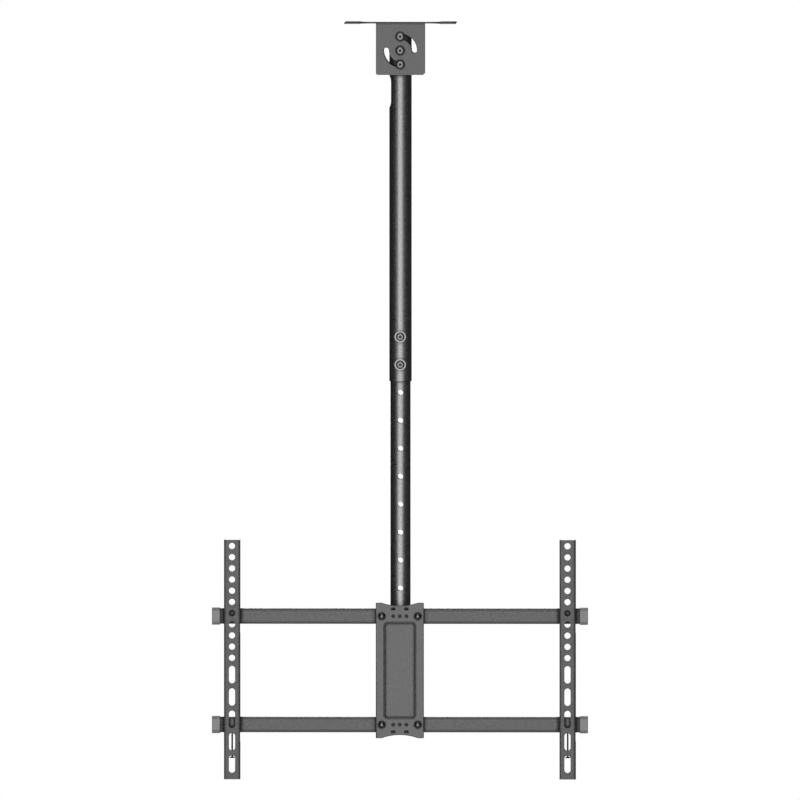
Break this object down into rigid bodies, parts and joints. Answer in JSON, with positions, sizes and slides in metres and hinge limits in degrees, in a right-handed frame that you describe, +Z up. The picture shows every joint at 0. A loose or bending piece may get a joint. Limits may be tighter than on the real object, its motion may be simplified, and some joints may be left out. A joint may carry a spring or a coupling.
{
  "type": "tilting television ceiling mount",
  "caption": "Ceiling pole mount for a flat television: sloping ceiling bracket, telescopic pole, tilting and swivelling head, and cross rails with slotted hanging arms.",
  "frame": {"origin": "centre of the ceiling plate's top face, where the mount meets the ceiling", "axes": "+Z up, out of the ceiling plate; the pole hangs along -Z; the television faces -Y; +X to the right of a viewer who looks at the screen"},
  "size_m": [0.6722, 0.104, 1.3531],
  "materials": {
    "steel_coat": "fine textured matt powder coat",
    "arm_coat": "fine textured matt powder coat",
    "rail_coat": "smooth satin powder coat",
    "tube_coat": "smooth satin powder coat",
    "black_fastener": "black oxide steel",
    "glossy_screw": "gloss black plating",
    "cap_plastic": "moulded plastic, fine grain",
    "bearing_plastic": "smooth bearing plastic"
  },
  "bodies": {
    "ceiling": {"ceiling_bracket": "steel_coat", "slope_pivot_bolt": "black_fastener", "slope_pivot_washer": "black_fastener", "slope_pivot_nut": "black_fastener"},
    "upper_pole": {"outer_tube": "tube_coat", "slope_lock_bolts": "black_fastener", "slope_lock_washers": "black_fastener", "slope_lock_nuts": "black_fastener", "height_lock_bolts": "black_fastener", "height_lock_saddles": "black_fastener", "height_lock_nuts": "black_fastener"},
    "lower_pole": {"inner_tube": "tube_coat", "pole_end_plug": "tube_coat", "swivel_disc": "bearing_plastic", "swivel_bolt": "black_fastener", "swivel_washer": "black_fastener", "swivel_nut": "black_fastener"},
    "swivel_head": {"tilt_yoke": "steel_coat", "tilt_spacer": "tube_coat", "tilt_lock_bolts": "black_fastener", "tilt_lock_nuts": "black_fastener"},
    "tv_frame": {"tilt_bracket": "steel_coat", "tilt_pivot_bolt": "black_fastener", "tilt_pivot_nut": "black_fastener", "tilt_washers": "bearing_plastic", "centre_plate": "steel_coat", "frame_screws": "glossy_screw", "frame_nuts": "black_fastener", "upper_rail": "rail_coat", "lower_rail": "rail_coat", "upper_left_cap": "cap_plastic", "upper_right_cap": "cap_plastic", "lower_left_cap": "cap_plastic", "lower_right_cap": "cap_plastic"},
    "left_hanger": {"left_arm": "arm_coat", "left_lock_tab": "steel_coat", "left_safety_screw": "black_fastener"},
    "right_hanger": {"right_arm": "arm_coat", "right_lock_tab": "steel_coat", "right_safety_screw": "black_fastener"}
  },
  "joints": [
    {"name": "slope", "type": "hinge", "parent": "ceiling", "child": "upper_pole", "pos_m": [0, 0, -0.0502], "axis": [0, 1, 0], "range_deg": [0, 90]},
    {"name": "height", "type": "slide", "parent": "upper_pole", "child": "lower_pole", "axis": [0, 0, 1], "range_m": [0, 0.3]},
    {"name": "swivel", "type": "hinge", "parent": "lower_pole", "child": "swivel_head", "pos_m": [0, 0, -1.1003], "axis": [0, 0, 1], "range_deg": [-180, 180]},
    {"name": "tilt", "type": "hinge", "parent": "swivel_head", "child": "tv_frame", "pos_m": [0, 0, -1.1583], "axis": [1, 0, 0], "range_deg": [-5, 15]},
    {"name": "left_arm_slide", "type": "slide", "parent": "tv_frame", "child": "left_hanger", "axis": [1, 0, 0], "range_m": [-0.007, 0.242]},
    {"name": "right_arm_slide", "type": "slide", "parent": "tv_frame", "child": "right_hanger", "axis": [-1, 0, 0], "range_m": [-0.007, 0.242]}
  ]
}
